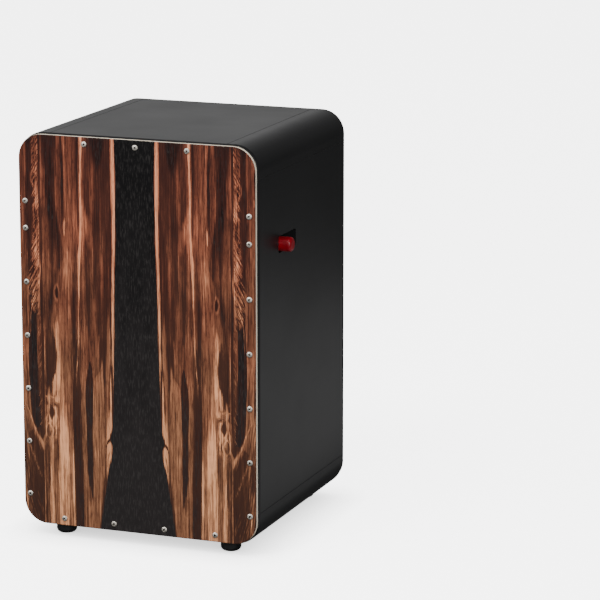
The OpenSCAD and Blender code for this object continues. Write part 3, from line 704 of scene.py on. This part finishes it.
def pan_screw_mesh(head_r, head_h, radius, length):
    """Mesh of one screw with its cross cut out; faces of the cut take the second material."""
    bm = bmesh.new()
    screw_body(bm, head_r, head_h, radius, length)
    body = mesh_object("screw_blank", bm, [nickel, recess_shade])
    bm = bmesh.new()
    cross_recess(bm, head_r, head_h)
    cutter = mesh_object("screw_recess", bm, [nickel, recess_shade], smooth=False)
    for face in cutter.data.polygons:
        face.material_index = 1
    cut = body.modifiers.new("recess", "BOOLEAN")
    cut.operation, cut.solver, cut.object = "DIFFERENCE", "EXACT", cutter
    shape = body.evaluated_get(bpy.context.evaluated_depsgraph_get())
    mesh = bpy.data.meshes.new_from_object(shape)
    bpy.data.objects.remove(body)
    bpy.data.objects.remove(cutter)
    return mesh


def plate_screws(node, outward):
    """The pan-head screws of one plate, each turned to where the driver left it."""
    low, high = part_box(node)
    length = (high.y - low.y) - HEAD_H - SHORT_OF_CAD
    single = pan_screw_mesh(HEAD_R, HEAD_H, SHANK_R, length)
    face_y = (low.y if outward < 0 else high.y) - outward * HEAD_H
    to_axis = Vector((0, outward, 0)).to_track_quat("Z", "X").to_matrix().to_4x4()
    bm = bmesh.new()
    for i, group in enumerate(islands(node)):
        xs, zs = [v.x for v in group], [v.z for v in group]
        place = Vector(((min(xs) + max(xs)) / 2, face_y, (min(zs) + max(zs)) / 2))
        spin = Matrix.Rotation(DRIVER_TURN * i, 4, "Z")
        count = len(bm.verts)
        bm.from_mesh(single)
        bm.verts.ensure_lookup_table()
        placed = Matrix.Translation(place) @ to_axis @ spin
        bmesh.ops.transform(bm, matrix=placed, verts=bm.verts[count:])
    piece = mesh_object(node + "_detailed", bm, [nickel, recess_shade])
    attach(piece, "drum_body")
    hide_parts(node)


def coil(bm, start, end, coil_r, wire_r, pitch, per_turn=8, sides=5):
    """A wire wound along the line from start to end, with closed ends."""
    axis = (end - start).normalized()
    side = axis.orthogonal().normalized()
    other = axis.cross(side)
    length = (end - start).length
    steps = round(length / pitch * per_turn)
    rings = []
    for i in range(steps + 1):
        turn = 2 * math.pi * i / per_turn
        out = math.cos(turn) * side + math.sin(turn) * other
        centre = start + axis * (length * i / steps) + out * (coil_r - wire_r)
        ring = []
        for k in range(sides):
            angle = 2 * math.pi * k / sides
            ring.append(bm.verts.new(centre + wire_r * (math.cos(angle) * out + math.sin(angle) * axis)))
        rings.append(ring)
    for a, b in zip(rings, rings[1:]):
        for k in range(sides):
            bm.faces.new((a[k], a[(k + 1) % sides], b[(k + 1) % sides], b[k]))
    bm.faces.new(rings[0])
    bm.faces.new(rings[-1])


def snare_coils(node):
    """The spiral wires of one snare, wound where the CAD has plain rods."""
    bm = bmesh.new()
    for group in islands(node):
        group.sort(key=lambda corner: corner.z)
        end_count = len(group) // 2
        low_end = sum(group[:end_count], Vector()) / end_count
        high_end = sum(group[-end_count:], Vector()) / end_count
        reach = (high_end - low_end).normalized() * COIL_GAP
        coil(bm, low_end + reach, high_end - reach, COIL_R, WIRE_R, COIL_PITCH)
    piece = mesh_object(node + "_coiled", bm, [snare_steel])
    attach(piece, "snare_carriage")
    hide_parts(node)


plate_screws("front_plate_screws", -1)
plate_screws("rear_panel_screws", 1)
snare_coils("snare_wires_left")
snare_coils("snare_wires_right")


# ---------------------------------------------------------------- stage

FLOOR_R = 14.0
WHITE = (1.0, 1.0, 1.0, 1.0)
MIDDLE = (0.0, 0.0, 0.25)


def make_floor():
    """A pale floor that shines by itself, with a painted contact shadow: it shines less where the object
    stands close to it.
    """
    bm = bmesh.new()
    bmesh.ops.create_circle(bm, cap_ends=True, radius=FLOOR_R, segments=96)
    mesh = bpy.data.meshes.new("floor")
    bm.to_mesh(mesh)
    bm.free()
    floor = bpy.data.objects.new("floor", mesh)
    g = Surface("pale_floor", Specular_IOR_Level=0.1)
    g.shader.inputs["Emission Color"].default_value = WHITE
    # painted contact shadow: ambient occlusion dims the floor's own glow near the object
    shade = g.add("ShaderNodeAmbientOcclusion", {"Distance": 0.05}, samples=8).outputs["AO"]
    g.feed(g.shader.inputs["Emission Strength"], g.map(shade, 0.0, 1.0, 0.9, 5.0, smooth=False))
    pale = g.mix(g.noise(g.place, 3.0), (0.90, 0.90, 0.90, 1), (0.92, 0.92, 0.92, 1))
    mesh.materials.append(g.finish(pale, 0.8))
    floor.visible_diffuse = False
    floor.visible_glossy = False
    bpy.context.scene.collection.objects.link(floor)


def softbox(name, place, aim, size, power):
    data = bpy.data.lights.new(name, "AREA")
    data.shape = "RECTANGLE"
    data.size, data.size_y = size
    data.energy = power
    light = bpy.data.objects.new(name, data)
    light.location = place
    light.rotation_euler = (Vector(aim) - Vector(place)).to_track_quat("-Z", "Y").to_euler()
    light.visible_camera = False
    bpy.context.scene.collection.objects.link(light)


def make_lights():
    """A pale backdrop low behind the object, softboxes in front and above, cards on the floor.

    The backdrop is darker towards +X, so that the lever's side reflects little of it.
    """
    world = bpy.data.worlds.new("studio")
    g = Graph(world, coordinates="Generated")
    backdrop = g.times(g.map(g.z, -0.04, 0.14), g.map(g.z, 0.32, 0.75, 1.0, 0.1))
    backdrop = g.times(backdrop, g.map(g.x, -0.5, 0.32, 0.64, 0.05))
    g.feed(g.tree.nodes["Background"].inputs["Strength"], g.plus(backdrop, 0.06))
    g.tree.nodes["Background"].inputs["Color"].default_value = WHITE
    bpy.context.scene.world = world
    softbox("front_left", (-2.4, -3.6, 1.9), MIDDLE, (2.0, 2.4), 108.0)
    softbox("front_right", (3.0, -3.2, 1.6), MIDDLE, (1.4, 2.0), 145.0)
    softbox("overhead", (-0.3, -2.0, 3.0), MIDDLE, (1.2, 1.0), 70.0)
    for side in (-1, 1):
        softbox("floor_card", (side * 0.6, 0.45, 0.01), (side * 0.6, 0.45, 1.0), (0.8, 1.5), 1.3)


def make_camera():
    """The photograph's camera, fitted to the body's corners, seams and screws."""
    azimuth, elevation = math.radians(20.831), math.radians(12.464)
    target = Vector((0.14675, -0.00058, 0.27854))
    distance = 3.70787
    level = math.cos(elevation)
    back = Vector((math.sin(azimuth) * level, -math.cos(azimuth) * level, math.sin(elevation)))
    data = bpy.data.cameras.new("camera")
    data.lens, data.sensor_width = 187.49, 36.0
    data.clip_end = 60.0
    camera = bpy.data.objects.new("camera", data)
    camera.location = target + distance * back
    camera.rotation_euler = (-back).to_track_quat("-Z", "Y").to_euler()
    bpy.context.scene.collection.objects.link(camera)
    bpy.context.scene.camera = camera


make_floor()
make_lights()
make_camera()
